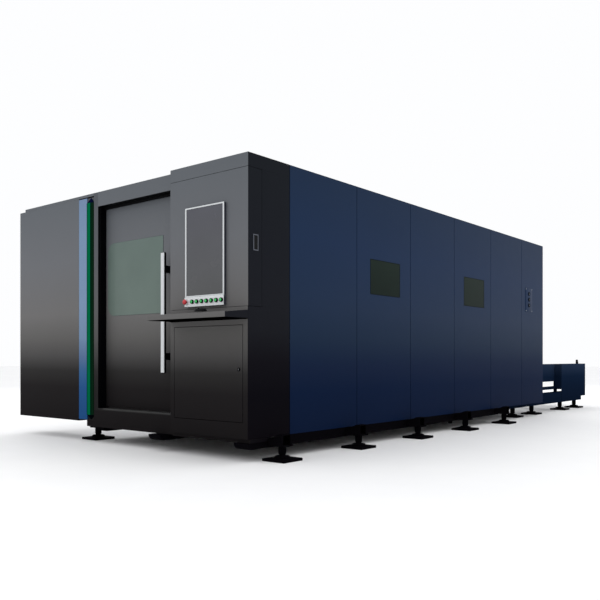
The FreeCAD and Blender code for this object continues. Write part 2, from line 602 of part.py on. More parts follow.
node("console_door",
     box(("-cabinet_width", "0"), ("0", "skin"), ("console_low", "console_top")),
     box(("-cabinet_width", "-cabinet_width + skin"), ("skin", "console_depth"),
         ("console_low", "console_top")),
     box(("-skin", "0"), ("skin", "console_depth"), ("console_low", "console_top")),
     pivot_plate(("console_low", "console_low + skin")),
     pivot_plate(("console_top - skin", "console_top")))
plate("monitor_frame", "XZ_Plane", ("-monitor_left", "-monitor_thick", "bar_top"),
      ("monitor_left - monitor_right", "monitor_top - bar_top", "monitor_thick"),
      [("bezel_side", "bezel_top", "monitor_left - monitor_right - bezel_side * 2",
        "monitor_top - bar_top - bezel_top * 2")])
node("monitor_screen",
     box(("-monitor_left + bezel_side + pane_clear", "-monitor_right - bezel_side - pane_clear"),
         ("-monitor_thick + screen_sink", "-monitor_thick + screen_sink + screen_thick"),
         ("bar_top + bezel_top + pane_clear", "monitor_top - bezel_top - pane_clear")))

BUTTON_X = [f"-button_first + {number} * button_pitch" for number in range(BUTTONS)]
bar_box = box(("-monitor_left", "-monitor_right"), ("-bar_thick", "0"),
              ("monitor_low", "bar_top"), "ButtonBar")
drills = [rod("y", (x, "-bar_thick - 5", "button_z"), "button_radius + button_clear",
              "bar_thick + 10") for x in BUTTON_X]
drills.append(rod("y", ("-estop_x", "-bar_thick - 5", "button_z"), "estop_neck + button_clear",
                  "bar_thick + 10"))
drill_set = doc.addObject("Part::MultiFuse", "Drills")
drill_set.Shapes = drills
button_bar = doc.addObject("Part::Cut", "DrilledBar")
button_bar.Base = bar_box
button_bar.Tool = drill_set
node("button_panel", button_bar)
for number, x in enumerate(BUTTON_X, start=1):
    node(f"button_{number}", rod("y", (x, "-bar_thick - button_reach", "button_z"),
                                 "button_radius", "button_length"))
estop_neck = rod("y", ("-estop_x", "-bar_thick - estop_gap", "button_z"), "estop_neck",
                 "estop_gap + button_length - button_reach")
estop_cap = rod("y", ("-estop_x", "-bar_thick - estop_gap - estop_cap", "button_z"),
                "estop_radius", "estop_cap")
node("emergency_stop", estop_cap, estop_neck)

latch_box = box(("0", "latch_proud"), ("latch_front", "latch_rear"), ("latch_low", "latch_top"))
latch_hole = box(("-1", "latch_proud + 1"),
                 ("latch_front + latch_border", "latch_rear - latch_border"),
                 ("latch_low + latch_border", "latch_top - latch_border"))
PIN_FOOT = ("latch_proud / 2", "latch_front + latch_border + paddle_clear + paddle_pin * 2",
            "latch_low + latch_border / 2")
PIN_LENGTH = "latch_top - latch_low - latch_border"
pin_hole = rod("z", PIN_FOOT, "paddle_pin + pin_clear", PIN_LENGTH)
latch_cuts = doc.addObject("Part::MultiFuse", "LatchCuts")
latch_cuts.Shapes = [latch_hole, pin_hole]
latch_frame = doc.addObject("Part::Cut", "LatchFrame")
latch_frame.Base = latch_box
latch_frame.Tool = latch_cuts
node("latch_frame", latch_frame)
flap = box(("flap_sink", "latch_proud - paddle_clear / 2"),
           ("latch_front + latch_border + paddle_clear",
            "latch_rear - latch_border - paddle_clear"),
           ("latch_low + latch_border + paddle_clear",
            "latch_top - latch_border - paddle_clear"))
flap_pin = rod("z", PIN_FOOT, "paddle_pin", PIN_LENGTH)
paddle = doc.addObject("Part::MultiFuse", "Paddle")
paddle.Shapes = [flap, flap_pin]
node("latch_paddle", paddle)

# ---- lower cabinet door ------------------------------------------------------------------
HATCH_X = ("-hatch_left", "-hatch_right")
node("cabinet_door", box(HATCH_X, ("0", "hatch_thick"), ("hatch_low", "hatch_top")),
     *door_knuckles)
node("door_lock", rod("y", ("-lock_x", "-lock_reach", "lock_z"), "lock_radius", "lock_reach - 0.4"))

# ---- gantry, carriage and cutting head ---------------------------------------------------
truck_y = ("gantry_y + gantry_depth / 2 - truck_length / 2",
           "gantry_y + gantry_depth / 2 + truck_length / 2")
beam_x = (f"-body_width - ({WALL_IN}) - wall_width", f"{WALL_IN} + wall_width")
node("gantry_beam", box(beam_x, ("gantry_y", "gantry_y + gantry_depth"),
                        ("gantry_low", "gantry_low + gantry_height")),
     *both_sides((WALL_IN + " - 10", "-wall_inset - 4"), truck_y,
                 ("wall_top + rail_height + truck_clear", "gantry_low")))
carriage_x = ("-body_width / 2 - carriage_width / 2", "-body_width / 2 + carriage_width / 2")
carriage_y = ("gantry_y - slide_clear - carriage_thick", "gantry_y - slide_clear")
node("carriage", box(carriage_x, carriage_y,
                     ("gantry_low - carriage_drop",
                      "gantry_low + gantry_height + carriage_drop * 3")))
head_x = ("-body_width / 2 - head_width / 2", "-body_width / 2 + head_width / 2")
head_y = ("gantry_y - slide_clear * 2 - carriage_thick - head_depth",
          "gantry_y - slide_clear * 2 - carriage_thick")
HEAD_MIDDLE_Y = "gantry_y - slide_clear * 2 - carriage_thick - head_depth / 2"
nozzle = doc.addObject("Part::Cone", "Nozzle")
nozzle.setExpression("Radius1", sized("nozzle_tip"))
nozzle.setExpression("Radius2", sized("nozzle_radius"))
nozzle.setExpression("Height", sized("head_low - nozzle_low"))
place(nozzle, "-body_width / 2", HEAD_MIDDLE_Y, "nozzle_low")
node("cutting_head", box(head_x, head_y, ("head_low", "gantry_low + gantry_height")), nozzle)

# ---- pallets -----------------------------------------------------------------------------
pallet_x = ("-body_width / 2 - pallet_width / 2", "-body_width / 2 + pallet_width / 2")
inner_x = (pallet_x[0] + " + pallet_bar", pallet_x[1] + " - pallet_bar")
for name, start, level in (("pallet_upper_grid", "pallet_y", "pallet_upper"),
                           ("pallet_lower_grid", "pallet_y + pallet_shift", "pallet_lower")):
    z = (level, f"{level} + pallet_bar")
    end = f"{start} + pallet_length"
    bars = [box((pallet_x[0], inner_x[0]), (start, end), z),
            box((inner_x[1], pallet_x[1]), (start, end), z),
            box(inner_x, (start, f"{start} + pallet_bar"), z),
            box(inner_x, (f"{end} - pallet_bar", end), z)]
    for number in range(SLATS):
        slat_y = (f"{start} + pallet_bar + "
                  f"(pallet_length - pallet_bar * 2) * {number + 0.5} / {SLATS}")
        bars.append(box(inner_x, (f"{slat_y} - slat_thick / 2", f"{slat_y} + slat_thick / 2"),
                        (level, f"{level} + slat_height")))
    node(name, *bars)

# ---- rear shutter ------------------------------------------------------------------------
shutter_x = ("-body_width + shutter_inset", "-shutter_inset")
node("rear_shutter", box(shutter_x, ("divider_y - skin * 2 - shutter_thick",
                                     "divider_y - skin * 2"),
                         ("shutter_low", "shutter_low + shutter_height")))

# ---- exchange table ----------------------------------------------------------------------
# Low box beams on feet carry two inner walls; a closed cabinet stands outside each far end.
rail_y = ("bed_length + seam", "table_end - end_corner")
table_parts = both_sides(("-table_inset - table_beam", "-table_inset"), rail_y,
                         ("table_low", "table_low + beam_height"))
for y in ("bed_length + 200", "end_start", f"{rail_y[1]} - bar_width * 2"):
    table_parts.append(box(("-body_width + table_inset + table_beam",
                            "-table_inset - table_beam"), (y, f"{y} + bar_width * 2"),
                           ("table_low + seam", "table_low + seam + tie_height")))
bar_x = (f"{TABLE_WALL} - bar_width", TABLE_WALL)
table_parts += both_sides(bar_x, rail_y, ("bar_low", "bar_high"))
for y in ("bed_length + 300", "body_length - 150", "end_start + 60", f"{rail_y[1]} - bar_width"):
    for z in (("table_low + beam_height", "bar_low"), ("bar_high", "panel_low")):
        table_parts += both_sides(bar_x, (y, f"{y} + bar_width"), z)
node("table_frame", *table_parts)
wall_y = ("divider_y + skin + seam", "table_end - skin")
node("table_side_panels",
     *both_sides((f"{TABLE_WALL} - skin", TABLE_WALL), wall_y, ("panel_low", "panel_top")),
     *both_sides((f"{TABLE_WALL} - skin - flange", f"{TABLE_WALL} - skin"), wall_y,
                 ("panel_top - skin", "panel_top")))
SKIN_X = ("-table_inset", "-table_inset + skin")
cabinet_x = (TABLE_WALL, "-table_inset")
node("table_end_skins",
     *both_sides(SKIN_X, ("end_start", "table_end - end_corner"), ("table_low", "panel_top")),
     *both_sides(SKIN_X, ("table_end - end_corner", "table_end"),
                 ("table_low + end_step", "panel_top")),
     *both_sides(cabinet_x, ("end_start", "end_start + skin"), ("bar_high", "panel_top - skin")),
     *both_sides(cabinet_x, ("end_start", "table_end - skin"), ("panel_top - skin", "panel_top")),
     box(("-body_width + table_inset", "-table_inset"), ("table_end - skin", "table_end"),
         ("panel_low", "panel_top - end_drop")),
     box(("-table_inset - 36", "-table_inset - 12"), ("stop_y", "stop_y + 24"),
         ("panel_top", "panel_top + stop_height")))

doc.recompute()
faulty = [item.Label for item in doc.Objects if {"Invalid", "Error"} & set(item.State)]
faulty += [item.Label for item in NODES if item.Shape.isNull() or not item.Shape.isValid()]
if faulty:
    sys.exit("not built: " + ", ".join(faulty))
os.makedirs("parts", exist_ok=True)
for piece in NODES:
    piece.Shape.exportStep(f"parts/{piece.Label}.step")
print(len(NODES), "nodes written")
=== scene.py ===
import math

import bmesh
import bpy
from mathutils import Matrix, Vector


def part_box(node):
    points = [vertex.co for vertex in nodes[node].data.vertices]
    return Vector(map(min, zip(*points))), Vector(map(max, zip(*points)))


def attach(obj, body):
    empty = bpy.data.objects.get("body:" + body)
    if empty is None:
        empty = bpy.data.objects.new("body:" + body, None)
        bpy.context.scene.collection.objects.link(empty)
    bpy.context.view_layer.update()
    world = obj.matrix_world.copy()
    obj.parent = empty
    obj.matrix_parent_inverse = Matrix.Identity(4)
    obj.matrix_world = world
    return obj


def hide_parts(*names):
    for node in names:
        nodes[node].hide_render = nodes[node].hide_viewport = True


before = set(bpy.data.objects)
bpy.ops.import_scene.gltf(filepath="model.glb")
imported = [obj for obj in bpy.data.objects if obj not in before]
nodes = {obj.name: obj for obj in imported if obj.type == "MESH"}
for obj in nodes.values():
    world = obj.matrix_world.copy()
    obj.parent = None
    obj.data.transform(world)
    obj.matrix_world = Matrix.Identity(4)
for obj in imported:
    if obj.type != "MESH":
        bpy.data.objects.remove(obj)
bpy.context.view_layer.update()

# ---- Floor, light and camera ---------------------------------------------------------------
# A pale painted floor under an even white sky of soft light, with large weak soft boxes that
# shape the faces, and a level camera with a little rise, as for a long machine.
scene = bpy.context.scene
scene.view_settings.view_transform = "Standard"


def hang(obj):
    scene.collection.objects.link(obj)
    return obj


EYE = Vector((5.2077, -7.755, 0.7778))
HEADING_DEGREES = 39.33
lens = bpy.data.cameras.new("camera")
lens.lens = 43.17
lens.sensor_width = 36.0
lens.shift_y = 0.0968
lens.clip_end = 200.0
camera = hang(bpy.data.objects.new("camera", lens))
camera.location = EYE
camera.rotation_euler = (math.radians(90), 0, math.radians(HEADING_DEGREES))
scene.camera = camera

# name, place, aim, width, height, power in watts
SOFT_BOXES = (
    ("front_box", (-3.0, -10.0, 5.5), (0.0, -3.8, 1.6), 8.0, 4.0, 110),
    ("side_box", (10.0, 2.0, 6.0), (1.6, 0.5, 1.4), 9.0, 4.0, 90),
    ("top_box", (0.0, 0.0, 9.0), (0.0, 0.0, 0.0), 9.0, 12.0, 160),
    ("back_box", (-4.0, 10.0, 5.0), (0.0, 3.0, 1.0), 8.0, 4.0, 110),
    ("left_box", (-10.0, -1.0, 5.0), (-1.5, 0.0, 1.2), 8.0, 4.0, 90),
)
for name, place, aim, width, height, power in SOFT_BOXES:
    light = bpy.data.lights.new(name, "AREA")
    light.shape = "RECTANGLE"
    light.size = width
    light.size_y = height
    light.energy = power
    lamp = hang(bpy.data.objects.new(name, light))
    lamp.location = place
    lamp.rotation_euler = (Vector(aim) - Vector(place)).to_track_quat("-Z", "Y").to_euler()

sky = bpy.data.worlds.new("white_sky")
sky.use_nodes = True
sky.node_tree.nodes["Background"].inputs["Color"].default_value = (0.985, 0.99, 1.0, 1)
sky.node_tree.nodes["Background"].inputs["Strength"].default_value = 1.0
scene.world = sky


def srgb(code):
    """A paint-card code such as "5f6265" as linear colour."""
    parts = [int(code[i:i + 2], 16) / 255 for i in (0, 2, 4)]
    return tuple(c / 12.92 if c <= 0.04045 else ((c + 0.055) / 1.055) ** 2.4 for c in parts)


class Finish:
    """One Principled material wired out of procedural nodes."""

    def __init__(self, name):
        self.material = bpy.data.materials.new(name)
        self.material.use_nodes = True
        self.tree = self.material.node_tree
        self.shader = self.tree.nodes["Principled BSDF"]
        coordinates = self.tree.nodes.new("ShaderNodeTexCoord")
        self.place = coordinates.outputs["Object"]
        self.facing = coordinates.outputs["Normal"]

    def new(self, kind, into=None, source=None, **values):
        node = self.tree.nodes.new(kind)
        for socket, value in values.items():
            node.inputs[socket.replace("_", " ")].default_value = value
        if into is not None:
            self.tree.links.new(source, node.inputs[into])
        return node

    def link(self, out, socket):
        self.tree.links.new(out, self.shader.inputs[socket])
        return self

    def set(self, **values):
        for socket, value in values.items():
            self.shader.inputs[socket.replace("_", " ")].default_value = value
        return self

    def grain(self, scale, detail=3.0, stretch=(1, 1, 1)):
        """Soft noise, drawn out along an axis where the finish has a direction."""
        place = self.place
        if stretch != (1, 1, 1):
            place = self.new("ShaderNodeMapping", "Vector", place, Scale=stretch).outputs["Vector"]
        noise = self.new("ShaderNodeTexNoise", "Vector", place, Scale=scale, Detail=detail)
        return noise.outputs["Fac"]

    def along(self, vector, axis):
        return self.new("ShaderNodeSeparateXYZ", "Vector", vector).outputs[axis]

    def spread(self, value, low, high, new_low=0.0, new_high=1.0):
        node = self.new("ShaderNodeMapRange", "Value", value, From_Min=low, From_Max=high,
                        To_Min=new_low, To_Max=new_high)
        return node.outputs["Result"]

    def ramp(self, value, stops):
        node = self.new("ShaderNodeValToRGB", "Fac", value)
        band = node.color_ramp
        while len(band.elements) < len(stops):
            band.elements.new(0.5)
        for element, (position, colour) in zip(band.elements, stops):
            element.position = position
            element.color = (*colour, 1)
        return node.outputs["Color"]

    def mix(self, share, first, second, kind="MIX"):
        node = self.tree.nodes.new("ShaderNodeMix")
        node.data_type = "RGBA"
        node.blend_type = kind
        for socket, item in ((0, share), (6, first), (7, second)):
            if isinstance(item, bpy.types.NodeSocket):
                self.tree.links.new(item, node.inputs[socket])
            else:
                node.inputs[socket].default_value = item if socket == 0 else (*item, 1)
        return node.outputs[2]

    def mottle(self, colour, scale, depth):
        """Multiply a colour by a faint patchiness."""
        shade = self.ramp(self.grain(scale, 4), [(0.35, (1 - depth,) * 3), (0.65, (1.0,) * 3)])
        return self.mix(1.0, colour, shade, "MULTIPLY")

    def gloss(self, value, low, high):
        return self.link(self.spread(value, 0.3, 0.7, low, high), "Roughness")

    def bump(self, value, strength, distance):
        node = self.new("ShaderNodeBump", "Height", value, Strength=strength, Distance=distance)
        return self.link(node.outputs["Normal"], "Normal")


floor_paint = Finish("floor_paint")
floor_paint.link(floor_paint.mottle(floor_paint.ramp(floor_paint.grain(0.4),
                 [(0.3, srgb("f7f7f8")), (0.7, srgb("fbfbfb"))]), 3.0, 0.01), "Base Color")
floor_paint.set(Roughness=0.7, Specular_IOR_Level=0.1).bump(floor_paint.grain(220), 0.02, 0.0005)
FLOOR_HALF = 60.0
floor_mesh = bpy.data.meshes.new("floor")
floor_mesh.from_pydata([(-FLOOR_HALF, -FLOOR_HALF, 0), (FLOOR_HALF, -FLOOR_HALF, 0),
                        (FLOOR_HALF, FLOOR_HALF, 0), (-FLOOR_HALF, FLOOR_HALF, 0)],
                       [], [(0, 1, 2, 3)])
floor_mesh.materials.append(floor_paint.material)
floor = hang(bpy.data.objects.new("floor", floor_mesh))


# ---- Welded bed and front skirt ------------------------------------------------------------
# Three box beams with rounded noses, the ties between them, the walls that carry the rails and
# a drain boss, welded into one bed and painted satin black; the folded grey skirt is screwed on.
PAINT_TOP = 2.3


def coat(name, tones, shine=0.05, gloss=(0.42, 0.45), peel=0.05, right_face=None,
         underside_shade=None):
    """Satin powder coat: tones are (height, card code) from low to high.

    The coat is darker low down: painted shade standing in for a dark ground reflected in the
    lower sheets, and its sheen is weaker there; it has a fine orange peel. It may turn to
    right_face on the sheets that face the machine's right, partly black paint and partly
    painted shade, and to a near-black painted shade on the faces that look down.
    """
    f = Finish(name)
    # The height ramp darkens the coat low down as painted shade, and the sheen ramp weakens
    # reflections there.
    height = f.spread(f.along(f.place, "Z"), 0.0, PAINT_TOP)
    colour = f.ramp(height, [(z / PAINT_TOP, srgb(code)) for z, code in tones])
    sheen = f.ramp(height, [(z / PAINT_TOP, (shine * share,) * 3)
                            for z, share in ((0.5, 0.15), (0.75, 0.3), (1.2, 1.0))])
    # Right-facing sheets take the right_face tones and a weaker sheen: partly black paint, partly
    # painted shade.
    if right_face:
        turned = f.spread(f.along(f.facing, "X"), 0.55, 0.75)
        side = f.ramp(height, [(z / PAINT_TOP, srgb(code)) for z, code in right_face])
        colour = f.mix(turned, colour, side)
        sheen = f.mix(turned, sheen, (shine * 0.4,) * 3)
    # Faces that look down take a near-black painted shade.
    if underside_shade:
        colour = f.mix(f.spread(f.along(f.facing, "Z"), -0.55, -0.75), colour, srgb(underside_shade))
    f.link(f.mottle(colour, 1.6, 0.025), "Base Color")
    f.gloss(f.grain(6, 2), *gloss)
    f.bump(f.grain(420, 2), peel, 0.0006)
    return f.link(sheen, "Specular IOR Level").material


def refinish(material, *names):
    for name in names:
        nodes[name].data.materials.clear()
        nodes[name].data.materials.append(material)


def soften(width, *names):
    """Break the sharp edges of carried-over pieces, as deburring and paint do."""
    for name in names:
        nodes[name].modifiers.new("weld", "WELD").merge_threshold = 0.00002
        edge = nodes[name].modifiers.new("edge", "BEVEL")
        edge.width = width
        edge.segments = 2
        edge.limit_method = "ANGLE"
        edge.angle_limit = math.radians(50)


# Each height ramp here darkens its paint towards the floor: painted shade for a dark ground
# reflected in the lower sheets. The skirt's right end and bottom faces take near-black painted
# shade.
BLACK_WITH_PAINTED_SHADE = ((0.2, "0e0c10"), (0.5, "0d0c11"), (0.75, "121116"), (1.0, "191a1f"),
               (1.6, "181a20"), (2.3, "171a1f"))
GREY_WITH_PAINTED_SHADE = ((0.17, "181617"), (0.5, "1f1d1e"), (0.66, "2b2a2a"), (0.8, "464545"),
              (0.97, "585756"), (1.2, "656464"), (1.7, "636569"), (2.3, "595d62"))
bed_black = coat("bed_black", ((0.0, "08070a"), (2.3, "0f0f12")), 0.02, (0.5, 0.6), 0.15)
refinish(coat("skirt_grey", GREY_WITH_PAINTED_SHADE, right_face=BLACK_WITH_PAINTED_SHADE, underside_shade="050506"),
         "front_skirt")

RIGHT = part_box("right_side_panels")[1].x
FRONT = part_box("cabinet_frame")[0].y


def at(x, y, z):
    """A place measured from the front right corner at the floor."""
    return Vector((RIGHT + x, FRONT + y, z))


class Shape:
    """A mesh put together from softly chamfered blocks, turned parts and extruded sections."""

    def __init__(self):
        self.bm = bmesh.new()

    def finish(self, made, material):
        for face in {f for v in made for f in v.link_faces}:
            face.material_index = material

    def block(self, low, high, chamfer=0.001, material=0, turn=None):
        low, high = Vector(low), Vector(high)
        size = high - low
        middle = (low + high) / 2
        made = bmesh.ops.create_cube(self.bm, size=1.0)["verts"]
        bmesh.ops.scale(self.bm, vec=size, verts=made)
        edges = list({e for v in made for e in v.link_edges})
        if chamfer:
            width = min(chamfer, min(size) * 0.45)
            result = bmesh.ops.bevel(self.bm, geom=edges, offset=width, segments=2,
                                     affect="EDGES", profile=0.6)
            made = list({v for f in result["faces"] for v in f.verts} |
                        {v for v in made if v.is_valid})
        if turn:
            bmesh.ops.rotate(self.bm, verts=made, matrix=turn)
        bmesh.ops.translate(self.bm, vec=middle, verts=made)
        self.finish(made, material)
        return self

    def turned(self, foot, axis, profile, material=0, sides=32, start=0.0):
        """Revolve (distance along axis, radius) steps about a line from foot."""
        basis = Vector(axis).to_track_quat("Z", "Y").to_matrix()
        rings = []
        for along, radius in profile:
            ring = []
            for k in range(sides):
                angle = start + 2 * math.pi * k / sides
                local = Vector((radius * math.cos(angle), radius * math.sin(angle), along))
                ring.append(self.bm.verts.new(Vector(foot) + basis @ local))
            rings.append(ring)
        faces = []
        for lower, upper in zip(rings, rings[1:]):
            for k in range(sides):
                faces.append(self.bm.faces.new((lower[k], lower[(k + 1) % sides],
                                                upper[(k + 1) % sides], upper[k])))
        faces.append(self.bm.faces.new(list(reversed(rings[0]))))
        faces.append(self.bm.faces.new(rings[-1]))
        for face in faces:
            face.material_index = material
        return self

    def section(self, points, start, end, material=0, materials=None):
        """Extrude a closed outline of points from start to end (both vectors)."""
        loops = [[self.bm.verts.new(Vector(p) + Vector(step)) for p in points]
                 for step in (start, end)]
        count = len(points)
        for k in range(count):
            face = self.bm.faces.new((loops[0][k], loops[0][(k + 1) % count],
                                      loops[1][(k + 1) % count], loops[1][k]))
            face.material_index = materials[k] if materials else material
        for loop, flip in ((loops[0], True), (loops[1], False)):
            face = self.bm.faces.new(list(reversed(loop)) if flip else loop)
            face.material_index = material
        return self

    def piece(self, name, body, materials, stands_for=()):
        bmesh.ops.recalc_face_normals(self.bm, faces=self.bm.faces)
        mesh = bpy.data.meshes.new(name)
        self.bm.to_mesh(mesh)
        self.bm.free()
        mesh.shade_smooth()
        mesh.set_sharp_from_angle(angle=math.radians(32))
        for material in materials:
            mesh.materials.append(material)
        obj = hang(bpy.data.objects.new(name, mesh))
        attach(obj, body)
        if stands_for:
            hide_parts(*stands_for)
        return obj


foot_ys = [0.275 + 1.012 * number for number in range(5)]
BEAM_LOW, BEAM_TOP = 0.096, 0.296
NOSE_TOP, NOSE_RADIUS = 0.143, 0.042
BED_START, BED_END, RAIL_WALL_TOP = 0.479, 4.400, 0.900
BEAMS = ((-0.145, -0.006, 0.0), (-1.145, -1.0, 0.0), (-2.139, -2.0, 0.16))
bed = Shape()
for left, right, nose in BEAMS:
    bed.block(at(left, BED_START, BEAM_LOW), at(right, BED_END, BEAM_TOP), 0.008)
    outline = [(0.0, NOSE_TOP)]
    for k in range(9):
        angle = math.radians(180 + 90 * k / 8)
        outline.append((NOSE_RADIUS * (1 + math.cos(angle)),
                        BEAM_LOW + NOSE_RADIUS * (1 + math.sin(angle))))
    outline += [(BED_START - nose, BEAM_LOW), (BED_START - nose, NOSE_TOP)]
    bed.section([at(0, nose + y, z) for y, z in outline], (left, 0, 0), (right, 0, 0))
for number, y in enumerate(foot_ys):
    low_z, high_z = (0.130, NOSE_TOP) if number == 0 else (0.150, 0.290)
    for left, right in ((-2.0, -1.145), (-1.0, -0.145)):
        bed.block(at(left, y - 0.0725, low_z), at(right, y + 0.0725, high_z), 0.006)
for left, right in ((-0.2, -0.1), (-2.045, -1.945)):
    bed.block(at(left, 0.485, BEAM_TOP), at(right, BED_END, RAIL_WALL_TOP), 0.004)
bed.turned(at(-0.0725, 3.290, 0.062), (0, 0, 1),
           [(0.0, 0.016), (0.004, 0.022), (0.020, 0.022), (0.022, 0.026), (0.036, 0.026)])
bed.piece("bed_welded", "machine", [bed_black], ["bed_frame"])


# ---- Levelling feet and their brackets -----------------------------------------------------
# Square cast pads, each with a ball-jointed screw; the bed's feet hang by a nut in brackets of
# thick folded plate, left open at the outer end, and welded to the outside of the bed.
# Near-black painted shadow for pockets and recesses: the brackets' inner cheeks, back plates and
# nuts, the strip under the shelf and the button collars.
shadow_black = coat("shadow_black", ((0.0, "010101"), (2.3, "020202")), 0.0, (0.6, 0.7), 0.1)
PAD_HALF = 0.110
PAD_THICK = 0.026
SCREW_RADIUS = 0.030
BED_FOOT_TOP, TABLE_FOOT_TOP = 0.114, 0.120
BED_FEET = [(0.096, y) for y in foot_ys] + [(-2.241, y) for y in foot_ys]
TABLE_FEET = [(x, y) for y in (5.264, 5.909, 7.020, 7.647) for x in (-0.195, -1.950)]
feet = Shape()
for x, y, top in ([(*foot, BED_FOOT_TOP) for foot in BED_FEET] +
                  [(*foot, TABLE_FOOT_TOP) for foot in TABLE_FEET]):
    base = at(x, y, 0)
    feet.block(base + Vector((-PAD_HALF, -PAD_HALF, 0)),
               base + Vector((PAD_HALF, PAD_HALF, PAD_THICK - 0.004)), 0.004)
    feet.turned(base, (0, 0, 1), [(0.021, 0.062), (0.034, 0.060), (0.040, 0.052), (0.044, 0.034)])
    feet.turned(base, (0, 0, 1),
                [(0.036, 0.030), (0.050, 0.024), (0.054, SCREW_RADIUS),
                 (top - 0.004, SCREW_RADIUS), (top, 0.026)])
    for turn in range(int((top - 0.058) / 0.006)):
        feet.turned(base + Vector((0, 0, 0.056 + 0.006 * turn)), (0, 0, 1),
                    [(0.0, SCREW_RADIUS - 0.001), (0.002, SCREW_RADIUS + 0.0015),
                     (0.004, SCREW_RADIUS - 0.001)], sides=24)
feet.piece("levelling_feet_cast", "machine", [bed_black], ["levelling_feet"])

LOW, SHOULDER, REACH = 0.112, 0.170, 0.156
# where the wall is, which way and how far the bracket stands out, and its top
RIGHT_BRACKET = (0.0, 1.0, 0.205)
LEFT_BRACKET = (-2.145, -0.93, 0.174)
brackets = Shape()
for x, y in BED_FEET:
    wall, out, top = RIGHT_BRACKET if x > 0 else LEFT_BRACKET
    cheek = [(0.0, LOW), (REACH, LOW), (REACH, LOW + 0.014), (0.150, LOW + 0.016), (0.150, top),
             (0.110, top), (0.045, SHOULDER), (0.0, SHOULDER)]
    # The inner cheek, the back plate and the nut below take the painted shadow black.
    for near, far, inner in ((-0.060, -0.052, 0), (0.020, 0.028, 1)):
        brackets.section([at(wall + out * u, 0, z) for u, z in cheek],
                         (0, y + near, 0), (0, y + far, 0), inner)
    for left, right_end, near, far, low, high, inner in (
            (0.0, REACH, -0.053, 0.060, LOW, LOW + 0.012, 0),
            (0.110, 0.150, -0.053, 0.021, top - 0.008, top, 0),
            (0.0, 0.006, -0.053, 0.021, LOW + 0.012, SHOULDER, 1)):
        ends = sorted((wall + out * left, wall + out * right_end))
        brackets.block(at(ends[0], y + near, low), at(ends[1], y + far, high), 0.001, inner)
    brackets.turned(at(x, y, LOW + 0.014), (0, 0, 1),
                    [(0.0, 0.036), (0.020, 0.036), (0.023, 0.032)], 1, sides=6)
brackets.piece("foot_brackets_folded", "machine", [bed_black, shadow_black],
               ["foot_brackets"])



# ---- Bare metal inside: rails, tray and pallet ledges --------------------------------------
# Ground steel guide rails and racks on the bed's walls, with a galvanised scrap tray between
# them and painted ledges for the two pallets.
def brushed(name, code, stretch, gloss=(0.3, 0.4), metal=0.9, contrast=0.05, edge=None):
    """Metal with fine drawn lines; edge is the card code of painted shade on the sides that face
    right.
    """
    f = Finish(name)
    base = srgb(code)
    lines = f.grain(240, 3, stretch)
    colour = f.ramp(lines, [(0.3, tuple(c * (1 - contrast) for c in base)),
                            (0.7, tuple(min(1, c * (1 + contrast)) for c in base))])
    # Sides that face right take the edge colour: painted shade.
    if edge:
        turned = f.spread(f.along(f.facing, "X"), 0.5, 0.7)
        colour = f.mix(turned, colour, srgb(edge))
    f.link(colour, "Base Color")
    f.gloss(lines, *gloss)
    f.bump(lines, 0.03, 0.0002)
    return f.set(Metallic=metal).material


rail_steel = brushed("ground_steel", "b4b7b9", (1, 0.02, 1))
zinc_sheet = brushed("zinc_sheet", "8f9498", (0.1, 0.1, 0.1), (0.4, 0.55), 0.8, 0.15)
# Lighter towards the top and darker low down: painted shade.
inner_grey = coat("inner_grey", ((0.0, "5f6266"), (2.3, "8b8f94")), 0.3, (0.45, 0.55), 0.12)
refinish(rail_steel, "gantry_rails")
refinish(zinc_sheet, "scrap_tray")
refinish(inner_grey, "pallet_tracks")
soften(0.002, "gantry_rails", "pallet_tracks")


# ---- Enclosure skins -----------------------------------------------------------------------
# Folded 1.5 mm steel panels hung on square posts: deep blue along both sides, the roof and the
# back, satin black round the front right corner, each with narrow shadow gaps between.
# The deep blue darkens towards the floor with height: painted shade for a dark ground reflected in
# the lower panels.
BLUE_WITH_PAINTED_SHADE = ((0.2, "0c1932"), (0.5, "0d1b35"), (0.7, "121f38"), (0.95, "17273d"),
              (1.3, "172943"), (1.75, "142845"), (2.3, "11253f"))
side_blue = coat("side_blue", BLUE_WITH_PAINTED_SHADE, 0.05, (0.40, 0.42))
corner_black = coat("corner_black", BLACK_WITH_PAINTED_SHADE, 0.02, (0.44, 0.47))
refinish(side_blue, "right_side_panels", "left_side_panels", "window_panels", "roof_panels",
         "rear_panels")
refinish(corner_black, "right_front_panel")
refinish(bed_black, "enclosure_posts")
soften(0.0012, "right_side_panels", "left_side_panels", "window_panels", "roof_panels",
       "rear_panels", "right_front_panel")

rubber_black = Finish("rubber_black")
rubber_black.link(rubber_black.mottle(srgb("0a0a0c"), 60, 0.25), "Base Color")
rubber_black.set(Roughness=0.7, Specular_IOR_Level=0.03)
rubber_black = rubber_black.bump(rubber_black.grain(500), 0.1, 0.0003).material

